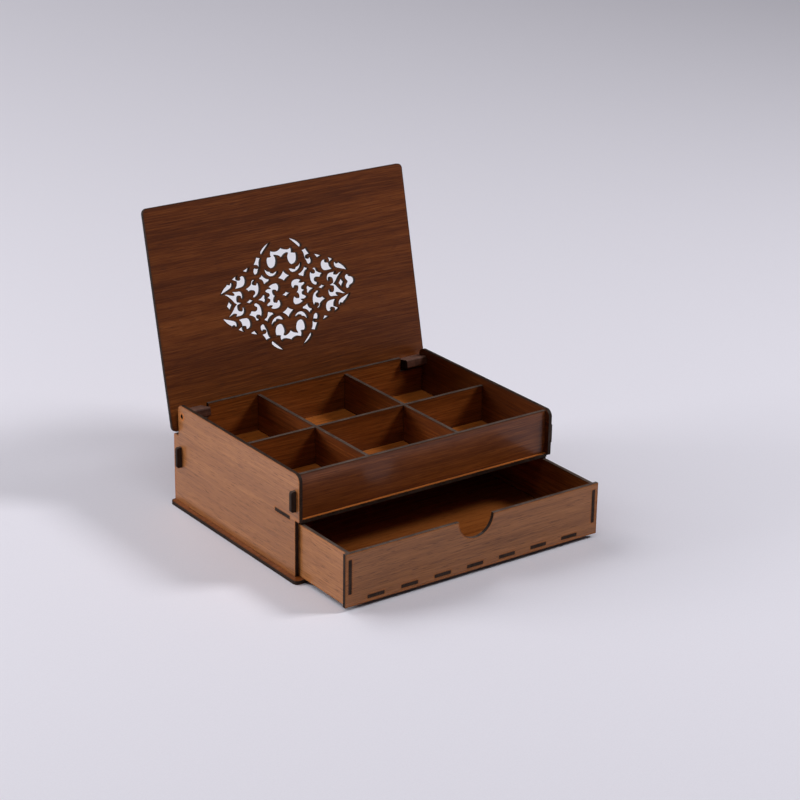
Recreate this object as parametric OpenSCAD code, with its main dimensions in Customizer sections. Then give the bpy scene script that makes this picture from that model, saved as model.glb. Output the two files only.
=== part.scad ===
// Wooden keepsake box with a pierced hinged lid, a six-compartment tray
// and a drawer below. Cut from laminated sheet, joined by tabs in slots.
// Millimetres, +Z up, the drawer opens towards -Y, the hinge is at +Y.
// The drawing shows the lid standing open and the drawer part way out.

/* [Box] */
// Width over the outer faces of the two side panels
box_width = 250; // [220:2:300]
// Depth of the side panels
box_depth = 190; // [170:2:230]
// Height of the top edge of the side panels above the table
box_height = 91; // [88:1:110]
// Thickness of every sheet
sheet = 3; // [2.8:0.1:3.2]
// How far the base stands out beyond each side
base_overhang = 5; // [3:0.5:8]
// How far the base stands out in front of the noses
base_front_overhang = 2; // [1:0.5:4]
// How far the lower front edge of a side lies behind its nose
nose_reach = 6; // [5:0.5:8]

/* [Tray] */
// Height of the underside of the tray floor
tray_level = 49.5; // [49:0.5:52]
// Height of the upper edge of the dividers
divider_top = 84.5; // [78:0.5:86]
// Height of the upper edge of the front fascia
fascia_top = 90; // [86:0.5:91]
// Height of the upper edge of the back panel
back_top = 87; // [84:0.5:87]
// Centre of the left short divider from the left outer face
divider_left = 76.5; // [70:0.5:84]
// Centre of the right short divider from the left outer face
divider_right = 165.2; // [160:0.2:172]
// Centre of the long divider behind the noses
divider_depth = 91.7; // [80:0.1:100]

/* [Drawer] */
// How far the drawer is pulled out in the drawing
drawer_out = 65.2; // [0:0.1:110]
// Height of the upper edge of the drawer
drawer_top = 48.3; // [44:0.1:48.3]
// Length of the drawer from front face to rear face
drawer_length = 172; // [150:1:172]
// Radius of the finger notch
finger_radius = 17; // [12:0.5:20]
// Number of floor tabs that show in the drawer front
floor_tabs = 7; // [3:1:7]

/* [Lid] */
// Lean of the open lid behind the vertical
lid_lean = 13; // [8:0.5:15]
// Reach of the lid in front of the hinge axis
lid_reach = 173.5; // [165:0.5:180]
// Reach of the tail behind the hinge axis
lid_tail = 13.5; // [12:0.5:14]
// Number of sheet leaves in each hinge block
leaf_count = 7; // [7:1:7]

/* [Hidden] */
$fn = 48;

// Overcut of a cutter past the face it leaves through
over = 1;
// Gap between bodies that move past each other
gap = 0.3;

// The origin is the middle of the base underside
half_width = box_width / 2;
nose_y = -(box_depth - base_front_overhang) / 2;
back_y = nose_y + box_depth;
inner_half = half_width - sheet;
base_half = half_width + base_overhang;
base_corner = 4;

// Side panel outline
nose_level = 51;
nose_corner = 6;
nose_lip = 1.5;
step_level = 63;
step_corner = 2;
ear_corner = 6;

// Hinge
hinge_y = nose_y + 176.5;
hinge_drop = 9.5;
hinge_z = box_height - hinge_drop;
lid_clearance = hinge_drop + gap;
pin_radius = 1.7;
pin_hole_radius = 1.75;
pin_recess = 1.2;
pin_length = 20.2;
// Back edge of the ears: the tail of the open lid comes to rest against it
ear_y = hinge_y - sin(lid_lean) * lid_tail + cos(lid_lean) * lid_clearance - gap;

// Leaves of the hinge blocks
leaf_half_height = 3.8;
leaf_front = 6;
leaf_corner = 1.5;
leaf_side_gap = 0.5;

// Fascia, back panel and tray floor
fascia_y = nose_y + 4.5;
panel_y = nose_y + 178;
tray_front_y = nose_y + 1.5;
tray_top = tray_level + sheet;
tab_out = 4.5;
tab_corner = 1.8;
fascia_tab_low = 59.2;
fascia_tab_high = 76.7;
back_tab_low = 35.5;
back_tab_high = 53.5;
tray_tab_near = nose_y + 13.5;
tray_tab_far = nose_y + 35;
rear_tab_centre = 75;
rear_tab_length = 20;
notch_width = 23.5;
notch_level = 74.6;

// Feet of the upright panels in the base
foot_length = 22;
foot_near = nose_y + 45;
foot_far = nose_y + 145;
back_foot_centre = 70;

// Dividers
left_x = divider_left - half_width;
right_x = divider_right - half_width;
long_y = nose_y + divider_depth;
half_lap = (tray_top + divider_top) / 2;

// Drawer
closed_y = nose_y + nose_reach - gap - sheet;
drawer_y = closed_y - drawer_out;
drawer_rear = drawer_y + drawer_length;
front_half = half_width - 0.5;
front_low = sheet + 0.5;
body_half = inner_half - 0.5;
side_low = sheet + gap;
side_high = drawer_top - gap;
floor_low = 6.3;
side_tab_low = 14;
side_tab_high = 43;
floor_tab_length = 16;
floor_tab_pitch = 31.9;
side_floor_tabs = [75, 135];
side_floor_tab_length = 18;

// Lid and pattern
lid_half = half_width + base_overhang;
lid_corner = 4.5;
pattern_x = -3.4;
pattern_reach = 80.8;
// Straight pieces in one side of a star and in one bend of a cut-out
side_steps = 5;
bend_steps = 4;
// Turn of a cut-out's second half about a centre line of the pattern
over_long_axis = [1, -1];
over_short_axis = [-1, 1];

// ---------- flat shapes ----------

// Rectangle given by its low and high corners, all corners rounded
module rounded_rect(low, high, radius) {
    translate([low[0] + radius, low[1]])
        square([high[0] - low[0] - 2 * radius, high[1] - low[1]]);
    translate([low[0], low[1] + radius])
        square([high[0] - low[0], high[1] - low[1] - 2 * radius]);
    for (x = [low[0] + radius, high[0] - radius])
        for (y = [low[1] + radius, high[1] - radius])
            translate([x, y]) circle(radius);
}

// Cutter that rounds one convex corner; sx and sy point out of the corner
module corner_cut(point, sx, sy, radius) {
    translate(point) mirror([sx < 0 ? 1 : 0, 0]) mirror([0, sy < 0 ? 1 : 0])
        difference() {
            translate([-radius, -radius]) square(radius + over);
            translate([-radius, -radius]) circle(radius);
        }
}

// Tab that stands out to +X from x = 0, with rounded outer corners
module proud_tab(low, high, reach) {
    difference() {
        translate([0, low]) square([reach, high - low]);
        corner_cut([reach, low], 1, -1, tab_corner);
        corner_cut([reach, high], 1, 1, tab_corner);
    }
}

// ---------- moves from flat sheet to place ----------

// Sheet drawn in Y-Z, outer face at x and thickness towards +X
module upright_yz(x) {
    translate([x, 0, 0]) rotate([90, 0, 90]) linear_extrude(sheet) children();
}

// Sheet drawn in X-Z, front face at y
module upright_xz(y) {
    translate([0, y + sheet, 0]) rotate([90, 0, 0]) linear_extrude(sheet) children();
}

// Sheet drawn in X-Y, underside at z
module flat_xy(z) {
    translate([0, 0, z]) linear_extrude(sheet) children();
}

// ---------- carcass ----------

module foot_slots() {
    for (sx = [-1, 1])
        for (y = [foot_near, foot_far])
            translate([sx * (half_width - sheet / 2) - sheet / 2, y])
                square([sheet, foot_length]);
    for (sx = [-1, 1])
        translate([sx * back_foot_centre - foot_length / 2, panel_y])
            square([foot_length, sheet]);
}

module base_panel() {
    color("sienna") flat_xy(0) difference() {
        rounded_rect([-base_half, nose_y - base_front_overhang], [base_half, back_y], base_corner);
        foot_slots();
    }
}

module side_outline() {
    difference() {
        union() {
            translate([nose_y + nose_reach, sheet])
                square([box_depth - nose_reach, step_level - sheet]);
            translate([nose_y, nose_level])
                square([nose_reach + over, step_level - nose_level]);
            translate([nose_y, step_level])
                square([ear_y - nose_y, box_height - step_level]);
            for (y = [foot_near, foot_far])
                translate([y, 0]) square([foot_length, sheet + over]);
        }
        corner_cut([nose_y, box_height], -1, 1, nose_corner);
        corner_cut([nose_y, nose_level], -1, -1, nose_lip);
        corner_cut([ear_y, box_height], 1, 1, ear_corner);
        corner_cut([back_y, step_level], 1, 1, step_corner);
        translate([fascia_y, fascia_tab_low])
            square([sheet, fascia_tab_high - fascia_tab_low]);
        translate([panel_y, back_tab_low])
            square([sheet, back_tab_high - back_tab_low]);
        translate([tray_tab_near, tray_level])
            square([tray_tab_far - tray_tab_near, sheet]);
    }
}

module side_panel(x) {
    difference() {
        upright_yz(x) side_outline();
        translate([x - over, hinge_y, hinge_z]) rotate([0, 90, 0])
            cylinder(h = sheet + 2 * over, r = pin_hole_radius);
    }
}

module left_side() {
    color("sienna") side_panel(-half_width);
}

module right_side() {
    color("sienna") side_panel(inner_half);
}

module back_panel() {
    color("sienna") upright_xz(panel_y) difference() {
        union() {
            translate([-inner_half, sheet]) square([2 * inner_half, back_top - sheet]);
            for (sx = [-1, 1]) mirror([sx < 0 ? 1 : 0, 0])
                translate([inner_half, 0]) proud_tab(back_tab_low, back_tab_high, sheet + tab_out);
            for (sx = [-1, 1])
                translate([sx * back_foot_centre - foot_length / 2, 0])
                    square([foot_length, sheet + over]);
        }
        for (sx = [-1, 1])
            translate([sx * (inner_half - notch_width / 2 + over / 2) - (notch_width + over) / 2,
                notch_level]) square([notch_width + over, back_top - notch_level + over]);
        for (sx = [-1, 1])
            translate([sx * rear_tab_centre - rear_tab_length / 2, tray_level])
                square([rear_tab_length, sheet]);
    }
}

module front_fascia() {
    color("sienna") upright_xz(fascia_y) {
        translate([-inner_half, tray_top]) square([2 * inner_half, fascia_top - tray_top]);
        for (sx = [-1, 1]) mirror([sx < 0 ? 1 : 0, 0])
            translate([inner_half, 0]) proud_tab(fascia_tab_low, fascia_tab_high, sheet + tab_out);
    }
}

module tray_floor() {
    color("sienna") flat_xy(tray_level) {
        translate([-inner_half, tray_front_y]) square([2 * inner_half, panel_y - tray_front_y]);
        translate([-half_width, tray_tab_near])
            square([2 * half_width, tray_tab_far - tray_tab_near]);
        for (sx = [-1, 1])
            translate([sx * rear_tab_centre - rear_tab_length / 2, panel_y - over])
                square([rear_tab_length, sheet + over]);
    }
}

module long_divider() {
    color("sienna") upright_xz(long_y - sheet / 2) difference() {
        translate([-inner_half, tray_top]) square([2 * inner_half, divider_top - tray_top]);
        for (x = [left_x, right_x])
            translate([x - sheet / 2, half_lap]) square([sheet, divider_top - half_lap + over]);
    }
}

module short_divider(x) {
    upright_yz(x - sheet / 2) difference() {
        translate([fascia_y + sheet, tray_top])
            square([panel_y - fascia_y - sheet, divider_top - tray_top]);
        translate([long_y - sheet / 2, tray_top - over])
            square([sheet, half_lap - tray_top + over]);
    }
}

module short_divider_left() {
    color("sienna") short_divider(left_x);
}

module short_divider_right() {
    color("sienna") short_divider(right_x);
}

// ---------- drawer ----------

module floor_tab_slots(z) {
    for (i = [0 : floor_tabs - 1])
        translate([(i - (floor_tabs - 1) / 2) * floor_tab_pitch - floor_tab_length / 2, z])
            square([floor_tab_length, sheet]);
}

module drawer_front() {
    color("peru") upright_xz(drawer_y) difference() {
        translate([-front_half, front_low]) square([2 * front_half, drawer_top - front_low]);
        translate([0, drawer_top]) circle(finger_radius);
        floor_tab_slots(floor_low);
        for (sx = [-1, 1])
            translate([sx * (body_half - sheet / 2) - sheet / 2, side_tab_low])
                square([sheet, side_tab_high - side_tab_low]);
    }
}

module drawer_side(x) {
    upright_yz(x) difference() {
        union() {
            translate([drawer_y + sheet, side_low])
                square([drawer_length - sheet, side_high - side_low]);
            translate([drawer_y, side_tab_low])
                square([sheet + over, side_tab_high - side_tab_low]);
        }
        translate([drawer_rear - 2 * sheet, side_tab_low])
            square([sheet, side_tab_high - side_tab_low]);
        for (d = side_floor_tabs)
            translate([drawer_y + d, floor_low]) square([side_floor_tab_length, sheet]);
    }
}

module drawer_left_side() {
    color("peru") drawer_side(-body_half);
}

module drawer_right_side() {
    color("peru") drawer_side(body_half - sheet);
}

module drawer_back() {
    color("peru") upright_xz(drawer_rear - 2 * sheet) difference() {
        union() {
            translate([sheet - body_half, side_low])
                square([2 * (body_half - sheet), side_high - side_low]);
            translate([-body_half, side_tab_low])
                square([2 * body_half, side_tab_high - side_tab_low]);
        }
        floor_tab_slots(floor_low);
    }
}

module drawer_floor() {
    color("peru") flat_xy(floor_low) {
        translate([sheet - body_half, drawer_y + sheet])
            square([2 * (body_half - sheet), drawer_length - 3 * sheet]);
        for (i = [0 : floor_tabs - 1])
            translate([(i - (floor_tabs - 1) / 2) * floor_tab_pitch - floor_tab_length / 2, drawer_y])
                square([floor_tab_length, drawer_length - sheet]);
        for (d = side_floor_tabs)
            translate([-body_half, drawer_y + d])
                square([2 * body_half, side_floor_tab_length]);
    }
}

// ---------- pattern cut in the lid ----------

// Four-pointed star with hollow sides: right and left reach, up reach, down reach
module star(a, up, down, hollow) {
    polygon(concat(
        hollow_side([a, 0], [0, up], hollow),
        hollow_side([0, up], [-a, 0], hollow),
        hollow_side([-a, 0], [0, -down], hollow),
        hollow_side([0, -down], [a, 0], hollow)));
}

// Points from one tip to the next, drawn in towards the middle by hollow times the length
function hollow_side(from, to, hollow) =
    let (run = to - from, inward = 4 * hollow * [-run[1], run[0]])
    [for (i = [0 : side_steps - 1]) let (t = i / side_steps) from + t * run + t * (1 - t) * inward];

// Outline through a chain [corner, pull, corner, pull, ... corner]: each bend runs from one
// corner to the next and is drawn towards the pull point between them
function bends(chain) =
    [for (i = [0 : 2 : len(chain) - 3], k = [0 : bend_steps - 1])
        let (t = k / bend_steps)
        (1 - t) * (1 - t) * chain[i] + 2 * t * (1 - t) * chain[i + 1] + t * t * chain[i + 2]];

// Cut-out whose chain closes on its own first corner
module cutout(chain) {
    polygon(bends(concat(chain, [chain[0]])));
}

// Cut-out that lies across a centre line: its chain starts and ends on the line
module even_cutout(chain, across) {
    half = concat(bends(chain), [chain[len(chain) - 1]]);
    polygon(concat(half,
        [for (i = [len(half) - 2 : -1 : 1]) [half[i][0] * across[0], half[i][1] * across[1]]]));
}

// Everything that is repeated in all four quarters
module quarter_motifs() {
    // upper rim thorn
    cutout([[9.2, 46.6], [16.5, 44.8], [20.4, 39.9], [21.3, 37.9], [19.6, 37.2],
        [18.5, 36.9], [18, 38], [14.2, 41.8]]);
    // leaf with a curled drop under it
    cutout([[25, 36.4], [23.8, 34.6], [20.2, 34.4], [22.1, 32.4], [22.2, 29.4],
        [22.4, 26.8], [23.9, 24.6], [24.4, 21.2], [27.2, 21.3], [30, 21.6], [29.7, 24.6],
        [29.3, 27.2], [27, 27.4], [26.6, 25.8], [25.5, 26], [24.2, 26.4], [24.5, 28.2],
        [24.9, 29.8], [28.7, 30], [26.4, 32.6]]);
    // small dart
    cutout([[32.5, 28.9], [35.2, 28.6], [39.7, 26.6], [37.2, 25.6], [35, 25.1], [34.4, 26.8]]);
    // big drop, hooked up into a curved dart
    cutout([[41.2, 22.6], [37.9, 22.4], [37.8, 18.6], [37.9, 13.6], [42.2, 13.2],
        [46, 12.6], [49.7, 13.3], [46.9, 15.2], [47.1, 19.4], [48.8, 19.8], [51.3, 21.5],
        [48.6, 22.9], [45, 24.7], [47.4, 21.8], [46.4, 20.2], [45.4, 18.9], [44, 19.5],
        [42.7, 20.6], [43.6, 21.9], [42.6, 22.7]]);
    // rim thorn at the end, with a barb
    cutout([[52.4, 19.1], [50.8, 18.9], [51.2, 16.6], [51.4, 14.4], [55, 13.2],
        [59.6, 11.6], [64.7, 9.8], [61.8, 14.6], [58, 16.7], [57.2, 17.4], [56.1, 18.9],
        [55.6, 17.4], [54.2, 17], [53.6, 19.2]]);
    // claw
    cutout([[27, 15.1], [25, 13.6], [25.3, 9.6], [25.6, 4.6], [29.4, 3], [32, 1.6],
        [33, 3.2], [33.4, 4.4], [31.8, 4.9], [30, 5.8], [30.8, 7.8], [31.8, 9.6],
        [34.2, 9], [35.6, 8.2], [36.8, 8.6], [37.4, 10.2], [39.2, 11.2], [35.4, 12.2],
        [33.6, 14.4], [33.4, 17.2], [31.6, 17.5], [30.2, 17.8], [28.8, 16.7],
        [31, 16.2], [31.2, 14.4], [30.9, 12.6], [29.3, 12.5], [28.4, 12.7], [28, 14.3],
        [27.8, 15.2]]);
    // forked star between the claw and the middle
    cutout([[14.2, 15], [17.6, 15.4], [20.2, 18.8], [20.8, 20.4], [22, 20.7], [22.6, 20],
        [22.9, 18.9], [23.8, 18.4], [25, 17.9], [24.4, 16.9], [23.2, 16.8], [21.4, 15.6],
        [20.9, 12.6], [20.4, 11.5], [19.2, 11.7], [17.6, 13.2], [15, 13.6], [14.3, 14.2]]);
    // ring part under the oval, with a barb
    cutout([[5.3, 20.9], [8.2, 21], [10.8, 19.5], [12, 19.6], [12.4, 21.2], [15.6, 21.2],
        [16.9, 24.2], [17.8, 25], [18.7, 24.2], [18.2, 18.6], [12.6, 17.3], [7.2, 16.4]]);
}

// Crown and its two ovals, repeated above and below
module crown_motif() {
    even_cutout([[0, 30.6], [2.2, 34.2], [6.4, 34.9], [6.6, 34], [6, 33.2], [4.8, 31.6],
        [5.5, 28.6], [6.6, 24], [10.4, 24], [14.8, 24.2], [15.4, 28.8], [16, 33],
        [14.2, 33.8], [12, 33.2], [10.8, 34], [11.6, 35.2], [11.3, 36.6], [10.9, 38],
        [10.3, 39.6], [8.6, 37.2], [5.6, 37.4], [2.2, 37.8], [0, 40.2]], over_short_axis);
    translate([0, 14.8]) star(6.3, 6.5, 4.1, 0.09);
}

// Pieces on the long centre line, repeated left and right
module side_motif() {
    // paired scrolls beside the centre star
    even_cutout([[10.2, 0], [12.2, 0.8], [12.4, 3.6], [12.6, 5.6], [11, 5.7], [10, 5.6],
        [9.6, 4.3], [8.6, 3], [6.8, 4.2], [5.6, 6], [5.9, 8], [6.6, 10.8], [10.4, 10.8],
        [14.2, 10.9], [16.9, 9], [15.4, 8.4], [15, 7.1], [16.2, 6.9], [17.8, 7.3],
        [19.6, 7.2], [20.7, 6], [19.4, 4.4], [17.6, 3.9], [16.4, 2.8], [17, 1.3],
        [17.8, 0.6], [19.4, 0]], over_long_axis);
    // heart
    even_cutout([[21, 0], [20.2, 1.6], [21, 2.7], [22.2, 4], [23.6, 2.6], [25, 0.9],
        [28.4, 0]], over_long_axis);
    translate([36.4, 0]) star(3.8, 2.1, 2.1, 0.07);
    // paired birds
    even_cutout([[44.2, 0], [46.6, 0.6], [48.1, 1.3], [48.8, 5.8], [46.6, 6.7],
        [45, 7], [44.7, 5.2], [45, 3.6], [43.8, 3.3], [42.3, 3.4], [42.2, 5.6],
        [42, 9.6], [45.6, 10.4], [49.2, 10.2], [53, 11.1], [50.9, 9.8], [50.9, 8.2],
        [51.2, 7], [54, 8.2], [57, 9.9], [60.4, 10], [56.8, 8], [53.4, 3.8],
        [52.2, 1.6], [49.6, 0]], over_long_axis);
    translate([56.6, 0]) star(3, 5.1, 5.1, 0.05);
}

// Trefoil that closes the right end
module trefoil() {
    even_cutout([[62.9, 0], [62.6, 1], [61.5, 1.9], [60, 3.8], [61.2, 5.4], [63.4, 7.2],
        [65.4, 5.2], [65.6, 3.6], [67.4, 3.4], [70.4, 2.8], [70.6, 0]], over_long_axis);
}

// All cut-outs together, around the middle of the pattern
module lid_pattern() {
    for (mx = [0, 1]) mirror([mx, 0]) {
        for (my = [0, 1]) mirror([0, my]) quarter_motifs();
        side_motif();
    }
    for (my = [0, 1]) mirror([0, my]) crown_motif();
    star(4.2, 2.9, 2.9, 0.11);
    trefoil();
}

// ---------- lid ----------

// Lid drawing: X across, Y along the lid from the hinge axis, Z out of its inner face
module lid_frame() {
    translate([0, hinge_y, hinge_z]) rotate([90 - lid_lean, 0, 0]) mirror([0, 0, 1])
        children();
}

module lid_panel() {
    color("saddlebrown") lid_frame() translate([0, 0, lid_clearance])
        linear_extrude(sheet) difference() {
            rounded_rect([-lid_half, -lid_tail], [lid_half, lid_reach], lid_corner);
            translate([pattern_x, pattern_reach]) lid_pattern();
        }
}

// Leaf outline in Y (along the lid) and Z (out of its inner face)
module leaf_outline(bored) {
    difference() {
        translate([-leaf_half_height, -leaf_front])
            square([2 * leaf_half_height, leaf_front + lid_clearance]);
        corner_cut([leaf_half_height, -leaf_front], 1, -1, leaf_corner);
        corner_cut([-leaf_half_height, -leaf_front], -1, -1, leaf_corner);
        if (bored) circle(pin_radius);
    }
}

// Leaf number i counted from the side panel; sx is -1 on the left, 1 on the right
module hinge_leaf(sx, i) {
    start = inner_half - leaf_side_gap - i * sheet;
    color("dimgray") lid_frame()
        translate([sx > 0 ? start : -start - sheet, 0, 0])
            rotate([90, 0, 90]) linear_extrude(sheet) leaf_outline(i < leaf_count);
}

module hinge_pin(sx) {
    start = half_width - pin_recess;
    color("gray") translate([sx > 0 ? start - pin_length : -start, hinge_y, hinge_z])
        rotate([0, 90, 0]) cylinder(h = pin_length, r = pin_radius);
}

base_panel();
left_side();
right_side();
back_panel();
front_fascia();
tray_floor();
long_divider();
short_divider_left();
short_divider_right();
drawer_front();
drawer_left_side();
drawer_right_side();
drawer_back();
drawer_floor();
lid_panel();
hinge_leaf(-1, 1);  // hinge_leaf_left_1
hinge_leaf(-1, 2);  // hinge_leaf_left_2
hinge_leaf(-1, 3);  // hinge_leaf_left_3
hinge_leaf(-1, 4);  // hinge_leaf_left_4
hinge_leaf(-1, 5);  // hinge_leaf_left_5
hinge_leaf(-1, 6);  // hinge_leaf_left_6
hinge_leaf(-1, 7);  // hinge_leaf_left_7
hinge_leaf(1, 1);  // hinge_leaf_right_1
hinge_leaf(1, 2);  // hinge_leaf_right_2
hinge_leaf(1, 3);  // hinge_leaf_right_3
hinge_leaf(1, 4);  // hinge_leaf_right_4
hinge_leaf(1, 5);  // hinge_leaf_right_5
hinge_leaf(1, 6);  // hinge_leaf_right_6
hinge_leaf(1, 7);  // hinge_leaf_right_7
hinge_pin(-1);  // hinge_pin_left
hinge_pin(1);  // hinge_pin_right
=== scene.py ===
import math
import bpy
from mathutils import Matrix, Quaternion, Vector

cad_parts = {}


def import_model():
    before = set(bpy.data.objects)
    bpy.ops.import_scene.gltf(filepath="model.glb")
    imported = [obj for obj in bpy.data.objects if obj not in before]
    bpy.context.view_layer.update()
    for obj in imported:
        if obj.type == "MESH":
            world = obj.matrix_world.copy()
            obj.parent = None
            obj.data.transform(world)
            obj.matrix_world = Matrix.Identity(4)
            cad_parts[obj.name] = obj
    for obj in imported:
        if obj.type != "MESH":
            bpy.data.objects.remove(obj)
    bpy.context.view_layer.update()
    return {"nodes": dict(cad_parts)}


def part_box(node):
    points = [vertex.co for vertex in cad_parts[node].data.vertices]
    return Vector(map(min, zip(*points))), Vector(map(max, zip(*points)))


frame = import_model()

MM = 0.001
# How far past vertical the lid stands at rest
LID_LEAN = math.radians(13)

# Each sheet's normal and grain direction, by the axis it is thin along
X, Y, Z = Vector((1, 0, 0)), Vector((0, 1, 0)), Vector((0, 0, 1))
LID_NORMAL = Vector((0, math.cos(LID_LEAN), -math.sin(LID_LEAN)))
AXES = {"x": (X, Y), "y": (Y, X), "z": (Z, X), "lid": (LID_NORMAL, X)}


# ---------------------------------------------------------------- node helpers

# Places of the colour sockets on a Mix node
MIX_A, MIX_B, MIX_RESULT = 6, 7, 2


class Shader:
    """A material's node tree, with short calls to add nodes and join them."""

    def __init__(self, name):
        self.material = bpy.data.materials.new(name)
        self.material.use_nodes = True
        self.tree = self.material.node_tree
        self.tree.nodes.clear()
        self.bsdf = self.node("ShaderNodeBsdfPrincipled")
        output = self.node("ShaderNodeOutputMaterial")
        self.link(self.bsdf.outputs["BSDF"], output.inputs["Surface"])

    def node(self, kind, **settings):
        made = self.tree.nodes.new(kind)
        for key, value in settings.items():
            setattr(made, key, value)
        return made

    def link(self, output, socket):
        self.tree.links.new(output, socket)

    def put(self, socket, value):
        """Joins an output to a socket, or sets the socket to a number or vector."""
        if isinstance(value, bpy.types.NodeSocket):
            self.link(value, socket)
        else:
            socket.default_value = value

    def maths(self, operation, first, second=0.0):
        made = self.node("ShaderNodeMath", operation=operation)
        self.put(made.inputs[0], first)
        self.put(made.inputs[1], second)
        return made.outputs[0]

    def vector_maths(self, operation, first, second):
        made = self.node("ShaderNodeVectorMath", operation=operation)
        self.put(made.inputs[0], first)
        self.put(made.inputs[1], second)
        return made.outputs[0]

    def noise(self, place, cells, detail=3.0, roughness=0.55):
        """Noise with the given number of cells per metre along each axis."""
        made = self.node("ShaderNodeTexNoise")
        self.link(self.vector_maths("MULTIPLY", place, cells), made.inputs["Vector"])
        made.inputs["Scale"].default_value = 1.0
        made.inputs["Detail"].default_value = detail
        made.inputs["Roughness"].default_value = roughness
        return made.outputs["Fac"]

    def span(self, value, low, high, to_low=0.0, to_high=1.0):
        """Maps low..high to to_low..to_high, and holds the ends."""
        made = self.node("ShaderNodeMapRange", clamp=True)
        self.put(made.inputs["Value"], value)
        limits = {"From Min": low, "From Max": high, "To Min": to_low, "To Max": to_high}
        for socket, number in limits.items():
            made.inputs[socket].default_value = number
        return made.outputs["Result"]

    def ramp(self, value, stops):
        """Colour between the (position, colour) stops."""
        made = self.node("ShaderNodeValToRGB")
        band = made.color_ramp
        while len(band.elements) < len(stops):
            band.elements.new(0.5)
        for element, (place, colour) in zip(band.elements, stops):
            element.position = place
            element.color = (*colour, 1.0)
        self.put(made.inputs["Fac"], value)
        return made.outputs["Color"]

    def mix(self, share, first, second):
        """The first colour, with a share of the second, a plain colour, over it."""
        made = self.node("ShaderNodeMix", data_type="RGBA")
        self.put(made.inputs["Factor"], share)
        self.link(first, made.inputs[MIX_A])
        made.inputs[MIX_B].default_value = (*second, 1.0)
        return made.outputs[MIX_RESULT]

    def bump(self, height, strength, distance):
        made = self.node("ShaderNodeBump")
        made.inputs["Strength"].default_value = strength
        made.inputs["Distance"].default_value = distance
        self.link(height, made.inputs["Height"])
        return made.outputs["Normal"]

    def sheet_place(self, axes, shift):
        """Position as (along the grain, across it, through the sheet), in metres."""
        normal, grain = axes
        turn = Matrix((grain, normal.cross(grain), normal)).to_euler("XYZ")
        where = self.node("ShaderNodeTexCoord")
        made = self.node("ShaderNodeMapping", vector_type="POINT")
        made.inputs["Rotation"].default_value = turn
        made.inputs["Location"].default_value = shift
        self.link(where.outputs["Object"], made.inputs["Vector"])
        return made.outputs["Vector"]


# ---------------------------------------------------------------- materials

# Finishes: colours of the print from dark to light, colour of a scorched rim, specular level.
# The second finish is a paler copy of the walnut print, painted light for the faces that catch the
# most light (left side, drawer front and drawer's left side); the third is a brighter, warmer copy,
# painted light for the compartment floor.
WALNUT = ((
    (0.00, (0.060, 0.0122, 0.0016)),
    (0.30, (0.110, 0.0250, 0.0036)),
    (0.55, (0.170, 0.0420, 0.0066)),
    (0.80, (0.240, 0.0650, 0.0115)),
    (1.00, (0.330, 0.0980, 0.0200)),
), (0.120, 0.0340, 0.0060), 0.2)
PAINTED_LIT_TAN = ((
    (0.00, (0.160, 0.0500, 0.0095)),
    (0.30, (0.225, 0.0750, 0.0160)),
    (0.55, (0.285, 0.0990, 0.0230)),
    (0.80, (0.350, 0.1270, 0.0325)),
    (1.00, (0.430, 0.1650, 0.0460)),
), (0.620, 0.1700, 0.0170), 0.3)
PAINTED_LIT_AMBER = ((
    (0.00, (0.180, 0.0420, 0.0050)),
    (0.30, (0.270, 0.0700, 0.0090)),
    (0.55, (0.360, 0.1000, 0.0140)),
    (0.80, (0.450, 0.1260, 0.0180)),
    (1.00, (0.550, 0.1600, 0.0250)),
), (0.300, 0.0800, 0.0120), 0.2)
PORE_BROWN = (0.050, 0.0130, 0.0034)
CHAR = (0.022, 0.0100, 0.0055)

# Scorching: reach from a cut and from the pin hole, and the cosine between the flat and its
# rounded edge where the scorch starts and where it is full
SCORCH_REACH = 3.5 * MM
SPOT_REACH = 4.6 * MM
SPOT_CORE = 0.45 * SPOT_REACH
SCORCH_START, SCORCH_FULL = 0.997, 0.82

# Cells per metre of the print's noises: along the grain, across it, through the sheet
GRAIN_DRIFT = (4.0, 12.0, 30.0)
BROAD_FIGURE = (2.2, 34.0, 30.0)
BANDS = (7.0, 300.0, 30.0)
STREAKS = (32.0, 1350.0, 30.0)
PORES = (95.0, 1900.0, 30.0)
BURN_BLOTCHES = (350.0, 350.0, 350.0)
EDGE_LINES = (1500.0, 1500.0, 60.0)
EDGE_BLOTCHES = (90.0, 90.0, 300.0)
STEEL_MARKS = (60.0, 2500.0, 2500.0)

# How far the grain wanders sideways, how the tone is made up, and how dark the pores are
DRIFT_WIDTH = 8 * MM
BROAD_SHARE, BAND_SHARE, STREAK_SHARE = 0.26, 0.28, 0.46
PORE_DEPTH = 0.60

# The outer face of the side panels, and the middle of the left hinge pin
SIDE_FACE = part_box("right_side")[1][0]
PIN_LOW, PIN_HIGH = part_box("hinge_pin_left")
PIN_AXIS = [(low + high) / 2 for low, high in zip(PIN_LOW, PIN_HIGH)]


def scorch_mask(s):
    """How near a point is to a laser cut: 0 on the open face, 1 right at the cut."""
    rounded = s.node("ShaderNodeBevel", samples=6)
    rounded.inputs["Radius"].default_value = SCORCH_REACH
    flat = s.node("ShaderNodeNewGeometry").outputs["True Normal"]
    product = s.node("ShaderNodeVectorMath", operation="DOT_PRODUCT")
    s.link(rounded.outputs["Normal"], product.inputs[0])
    s.link(flat, product.inputs[1])
    return s.span(product.outputs["Value"], SCORCH_START, SCORCH_FULL)


def pin_spot(s, where):
    """Scorched ring round the hole of the hinge pin, fading outwards."""
    flat = s.vector_maths("MULTIPLY", s.vector_maths("SUBTRACT", where, PIN_AXIS), (0.0, 1.0, 1.0))
    length = s.node("ShaderNodeVectorMath", operation="LENGTH")
    s.link(flat, length.inputs[0])
    return s.span(length.outputs["Value"], SPOT_REACH, SPOT_CORE)


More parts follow.
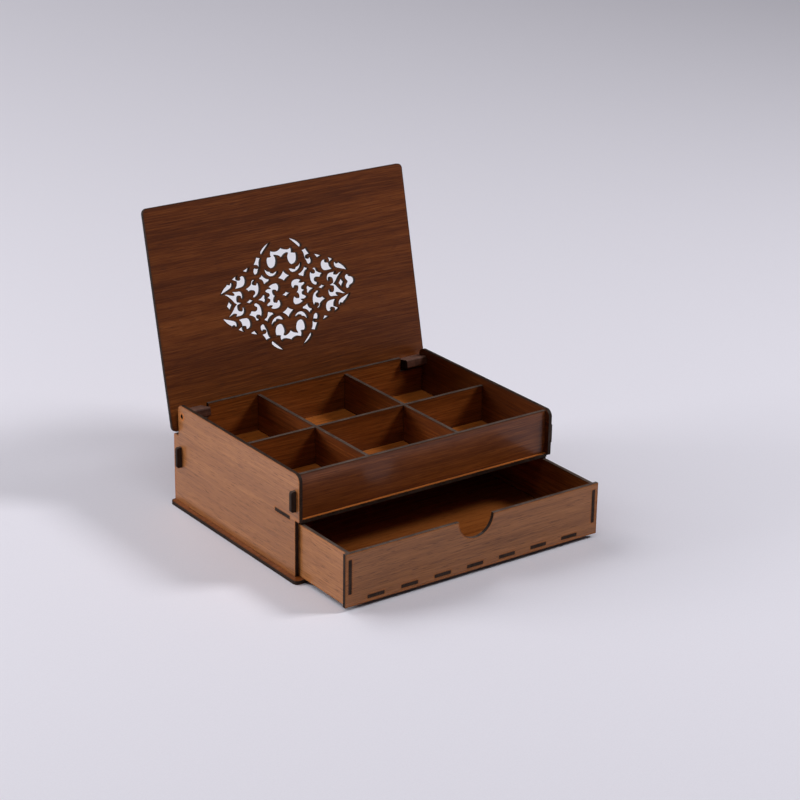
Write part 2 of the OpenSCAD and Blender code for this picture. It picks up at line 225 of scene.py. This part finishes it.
def laminate(name, axes, shift, finish, painted_light_lift=0.0):
    """Printed walnut laminate: long figure bands, fine streaks, dark pores and scorched rims."""
    stops, toast, gloss = finish
    s = Shader("laminate_" + name)
    flat = s.sheet_place(axes, shift)
    drift = s.noise(flat, GRAIN_DRIFT, detail=1.0)
    drift = s.maths("MULTIPLY", s.maths("SUBTRACT", drift, 0.5), DRIFT_WIDTH)
    sideways = s.node("ShaderNodeCombineXYZ")
    s.link(drift, sideways.inputs["Y"])
    place = s.vector_maths("ADD", flat, sideways.outputs["Vector"])

    broad = s.noise(place, BROAD_FIGURE, detail=2.0)
    bands = s.noise(place, BANDS, detail=3.0, roughness=0.6)
    fine = s.noise(place, STREAKS, detail=3.0, roughness=0.6)
    pores = s.noise(place, PORES, detail=1.0, roughness=0.5)
    burn = s.noise(flat, BURN_BLOTCHES, detail=2.0)

    broad_part = s.maths("MULTIPLY", broad, BROAD_SHARE)
    tone = s.maths("ADD", broad_part, s.maths("MULTIPLY", bands, BAND_SHARE))
    tone = s.maths("ADD", tone, s.maths("MULTIPLY", fine, STREAK_SHARE))
    # Painted light and shade: the whole print is made lighter or darker by the sheet's share from the
    # table
    tone = s.maths("ADD", tone, painted_light_lift)
    colour = s.ramp(s.span(tone, 0.33, 0.67), stops)
    pits = s.span(pores, 0.60, 0.70)
    colour = s.mix(s.maths("MULTIPLY", pits, PORE_DEPTH), colour, PORE_BROWN)

    rim = scorch_mask(s)
    where = s.node("ShaderNodeTexCoord").outputs["Object"]
    if name in ("left_side", "right_side"):
        rim = s.maths("MAXIMUM", rim, s.maths("MULTIPLY", pin_spot(s, where), 0.9))
    toasted = s.maths("MULTIPLY", rim, s.span(burn, 0.30, 0.70, 0.45, 1.0))
    colour = s.mix(toasted, colour, toast)
    blackened = s.maths("MULTIPLY", s.span(rim, 0.80, 1.0), 0.75)
    # Faces standing proud of the side panels, at the tabs, are made fully dark in the CHAR colour, as
    # is the full scorch at the rim
    if name in ("front_fascia", "back_panel"):
        split = s.node("ShaderNodeSeparateXYZ")
        s.link(where, split.inputs["Vector"])
        outward = s.maths("ABSOLUTE", split.outputs["X"])
        proud = s.maths("GREATER_THAN", outward, SIDE_FACE + 0.01 * MM)
        blackened = s.maths("MAXIMUM", blackened, proud)
    colour = s.mix(blackened, colour, CHAR)
    s.link(colour, s.bsdf.inputs["Base Color"])

    rough = s.maths("ADD", s.span(fine, 0.3, 0.7, 0.36, 0.44), s.maths("MULTIPLY", pits, 0.12))
    s.link(s.maths("ADD", rough, s.maths("MULTIPLY", rim, 0.3)), s.bsdf.inputs["Roughness"])
    s.link(s.span(rim, 0.0, 0.7, 0.4, 0.0), s.bsdf.inputs["Coat Weight"])
    s.bsdf.inputs["Specular IOR Level"].default_value = gloss
    s.bsdf.inputs["Coat Roughness"].default_value = 0.15
    height = s.maths("SUBTRACT", s.maths("MULTIPLY", fine, 0.35), pits)
    s.link(s.bump(height, 0.25, 0.04 * MM), s.bsdf.inputs["Normal"])
    return s.material


def cut_edge(name, axes, stops, gloss):
    """Laser-cut edge of the sheet, with fine lines through the thickness."""
    s = Shader(name)
    place = s.sheet_place(axes, (0.0, 0.0, 0.0))
    lines = s.noise(place, EDGE_LINES, detail=2.0)
    blotch = s.noise(place, EDGE_BLOTCHES, detail=3.0)
    tone = s.maths("ADD", s.maths("MULTIPLY", lines, 0.5), s.maths("MULTIPLY", blotch, 0.5))
    s.link(s.ramp(s.span(tone, 0.35, 0.65), stops), s.bsdf.inputs["Base Color"])
    s.link(s.span(lines, 0.3, 0.7, 0.50, 0.66), s.bsdf.inputs["Roughness"])
    s.bsdf.inputs["Specular IOR Level"].default_value = gloss
    s.link(s.bump(lines, 0.35, 0.06 * MM), s.bsdf.inputs["Normal"])
    return s.material


def three_stops(dark, middle, light):
    """Evenly spaced stops for a colour ramp."""
    return ((0.0, dark), (0.5, middle), (1.0, light))


EDGE_STOPS = three_stops((0.016, 0.0080, 0.0050), (0.031, 0.0170, 0.0115), (0.052, 0.0310, 0.0220))
# Lighter cut-edge colour for upper edges: painted light falling on them from above
PAINTED_LIT_TOP_STOPS = three_stops((0.048, 0.0310, 0.0240), (0.080, 0.0540, 0.0430), (0.125, 0.0880, 0.0720))
TAB_STOPS = three_stops((0.010, 0.0055, 0.0036), (0.020, 0.0110, 0.0075), (0.036, 0.0205, 0.0145))
LEAF_STOPS = three_stops((0.048, 0.0150, 0.0080), (0.080, 0.0270, 0.0150), (0.120, 0.0440, 0.0260))
PAINTED_LIT_LEAF_TOP_STOPS = three_stops((0.120, 0.0560, 0.0390), (0.180, 0.0880, 0.0640), (0.250, 0.1300, 0.0980))
STEEL_STOPS = ((0.3, (0.05, 0.045, 0.042)), (0.7, (0.13, 0.12, 0.115)))
PAPER_STOPS = ((0.3, (0.80, 0.78, 0.86)), (0.7, (0.83, 0.81, 0.89)))


def pin_metal():
    """Darkened steel wire with fine drawing marks along it."""
    s = Shader("pin_metal")
    where = s.node("ShaderNodeTexCoord").outputs["Object"]
    marks = s.noise(where, STEEL_MARKS, detail=3.0)
    s.link(s.ramp(marks, STEEL_STOPS), s.bsdf.inputs["Base Color"])
    s.bsdf.inputs["Metallic"].default_value = 1.0
    s.link(s.span(marks, 0.3, 0.7, 0.38, 0.55), s.bsdf.inputs["Roughness"])
    s.link(s.bump(marks, 0.2, 0.02 * MM), s.bsdf.inputs["Normal"])
    return s.material


# Each sheet of laminate: the axis it is thin along, where on the printed pattern it was cut,
# its finish, and its painted light: how much lighter its print is made to stand in for the light it
# gets, negative values being painted shade
SHEETS = {
    "base_panel": ("z", (0.10, 0.30, 0.0), WALNUT, 0.08),
    "left_side": ("x", (0.35, 0.11, 0.1), PAINTED_LIT_TAN, 0.05),
    "right_side": ("x", (1.25, 0.67, 0.2), WALNUT, -0.10),
    "back_panel": ("y", (2.15, 0.23, 0.3), WALNUT, 0.03),
    "front_fascia": ("y", (3.05, 0.79, 0.4), WALNUT, 0.0),
    "tray_floor": ("z", (3.95, 1.35, 0.5), PAINTED_LIT_AMBER, 0.11),
    "long_divider": ("y", (4.85, 0.41, 0.6), WALNUT, 0.03),
    "short_divider_left": ("x", (5.75, 0.97, 0.7), WALNUT, 0.0),
    "short_divider_right": ("x", (6.65, 1.53, 0.8), WALNUT, 0.0),
    "drawer_front": ("y", (7.55, 0.59, 0.9), PAINTED_LIT_TAN, 0.03),
    "drawer_left_side": ("x", (8.45, 1.15, 1.0), PAINTED_LIT_TAN, 0.12),
    "drawer_right_side": ("x", (9.35, 0.21, 1.1), WALNUT, 0.05),
    "drawer_back": ("y", (10.25, 0.77, 1.2), WALNUT, 0.0),
    "drawer_floor": ("z", (11.15, 1.33, 1.3), WALNUT, 0.14),
    "lid_panel": ("lid", (12.05, 0.39, 1.4), WALNUT, -0.02),
}
# Sheets whose upper cut edges get the lighter colour, painted light from above
PAINTED_LIT_TOPS = ("back_panel", "front_fascia", "long_divider", "short_divider_left",
              "short_divider_right", "drawer_front", "drawer_left_side", "drawer_right_side",
              "drawer_back")

burnt = {key: cut_edge("burnt_edge_" + key, axes, EDGE_STOPS, 0.12) for key, axes in AXES.items()}
painted_lit_top = {key: cut_edge("painted_lit_edge_" + key, AXES[key], PAINTED_LIT_TOP_STOPS, 0.15) for key in ("x", "y")}
# Near-black colour for the burnt tab ends, also used as painted shade on the end faces of the hinge
# blocks
burnt_end_and_shade = cut_edge("burnt_end_and_painted_shade", AXES["z"], TAB_STOPS, 0.10)
leaf_edge = cut_edge("leaf_edge", AXES["x"], LEAF_STOPS, 0.20)
# Upper faces of the hinge leaves: a lighter colour, painted light from above
painted_lit_leaf_top = cut_edge("painted_lit_hinge_top", AXES["x"], PAINTED_LIT_LEAF_TOP_STOPS, 0.20)
pin = pin_metal()

# How nearly a flat faces an axis to count as square on to it, or as an upper edge
SQUARE_ON, UPWARD = 0.95, 0.9
# Material slots of a sheet
FACE, EDGE, TOP, END = range(4)


def dress(node, normal, face, edge, top, end):
    """Gives each flat of a sheet its material: face, cut edge, upper edge or tab end."""
    mesh = node.data
    mesh.materials.clear()
    for material in (face, edge, top, end):
        mesh.materials.append(material)
    for polygon in mesh.polygons:
        if abs(polygon.normal.dot(normal)) > SQUARE_ON:
            polygon.material_index = FACE
        elif polygon.normal.z > UPWARD:
            polygon.material_index = TOP
        elif abs(polygon.normal.x) > SQUARE_ON:
            polygon.material_index = END
        else:
            polygon.material_index = EDGE
        polygon.use_smooth = False


for name, node in frame["nodes"].items():
    if name.startswith("hinge_leaf"):
        # The leaves' flat faces, the outer ones being the ends of the hinge block, take the near-black
        # end colour as painted shade
        dress(node, X, burnt_end_and_shade, leaf_edge, painted_lit_leaf_top, leaf_edge)
    elif name.startswith("hinge_pin"):
        node.data.materials.clear()
        node.data.materials.append(pin)
    else:
        key, shift, finish, painted_light_lift = SHEETS[name]
        face = laminate(name, AXES[key], shift, finish, painted_light_lift)
        top = painted_lit_top[key] if name in PAINTED_LIT_TOPS else burnt[key]
        dress(node, AXES[key][0], face, burnt[key], top, burnt_end_and_shade)


# ---------------------------------------------------------------- floor, light and camera

# The floor is a square sheet of pale paper, just under the box
FLOOR_HALF, FLOOR_HEIGHT = 7.0, -0.2 * MM
PAPER_TOOTH = (900.0, 900.0, 900.0)

# Area lights: name, place, target, width, height, watts
SOFTBOXES = (
    ("left_box", (-1.85, 1.08, 0.60), (0.0, 0.0, 0.05), 1.0, 0.5, 24.5),
    ("right_box", (1.50, -0.98, 1.72), (0.0, 0.0, 0.05), 0.6, 0.6, 29),
    ("overhead", (-0.3, -0.5, 2.3), (0.0, 0.0, 0.0), 0.8, 0.8, 7),
    ("back_fill", (-1.3, 3.2, 3.2), (-0.9, 2.4, 0.0), 3.6, 3.2, 108),
)
WORLD_COLOUR, WORLD_STRENGTH = (0.80, 0.79, 0.90), 0.085

CAMERA_PLACE = (-1.04384, -1.49207, 0.80897)
CAMERA_AIM = (0.546534, 0.754062, -0.364268)
CAMERA_ROLL = math.radians(0.8934)
SENSOR_WIDTH_MM, LENS_MM = 36.0, 106.415


def floor():
    """Plain pale floor with a fine paper tooth."""
    s = Shader("paper_sweep")
    where = s.node("ShaderNodeTexCoord").outputs["Object"]
    tooth = s.noise(where, PAPER_TOOTH, detail=2.0)
    s.link(s.ramp(tooth, PAPER_STOPS), s.bsdf.inputs["Base Color"])
    s.bsdf.inputs["Roughness"].default_value = 0.6
    mesh = bpy.data.meshes.new("sweep")
    corners = ((-1, -1), (1, -1), (1, 1), (-1, 1))
    mesh.from_pydata([(x * FLOOR_HALF, y * FLOOR_HALF, FLOOR_HEIGHT) for x, y in corners],
                     [], [(0, 1, 2, 3)])
    mesh.materials.append(s.material)
    made = bpy.data.objects.new("sweep", mesh)
    bpy.context.scene.collection.objects.link(made)


def softbox(name, place, target, width, height, watts):
    """Rectangular area light at a place, turned to a target."""
    data = bpy.data.lights.new(name, "AREA")
    data.shape = "RECTANGLE"
    data.size, data.size_y = width, height
    data.energy = watts
    made = bpy.data.objects.new(name, data)
    made.location = place
    aim = Vector(target) - Vector(place)
    made.rotation_euler = aim.to_track_quat("-Z", "Y").to_euler()
    bpy.context.scene.collection.objects.link(made)


def world():
    """Weak even light from all round."""
    made = bpy.data.worlds.new("studio")
    made.use_nodes = True
    background = made.node_tree.nodes["Background"]
    background.inputs["Color"].default_value = (*WORLD_COLOUR, 1)
    background.inputs["Strength"].default_value = WORLD_STRENGTH
    bpy.context.scene.world = made


def camera():
    """The one camera, in front of the box, to its left and above it."""
    data = bpy.data.cameras.new("camera")
    data.sensor_width = SENSOR_WIDTH_MM
    data.lens = LENS_MM
    data.dof.use_dof = False
    made = bpy.data.objects.new("camera", data)
    made.location = CAMERA_PLACE
    made.rotation_mode = "QUATERNION"
    turn = Vector(CAMERA_AIM).to_track_quat("-Z", "Y")
    made.rotation_quaternion = turn @ Quaternion(Z, CAMERA_ROLL)
    bpy.context.scene.collection.objects.link(made)
    bpy.context.scene.camera = made


floor()
world()
for box in SOFTBOXES:
    softbox(*box)
camera()
bpy.context.scene.view_settings.view_transform = "Standard"
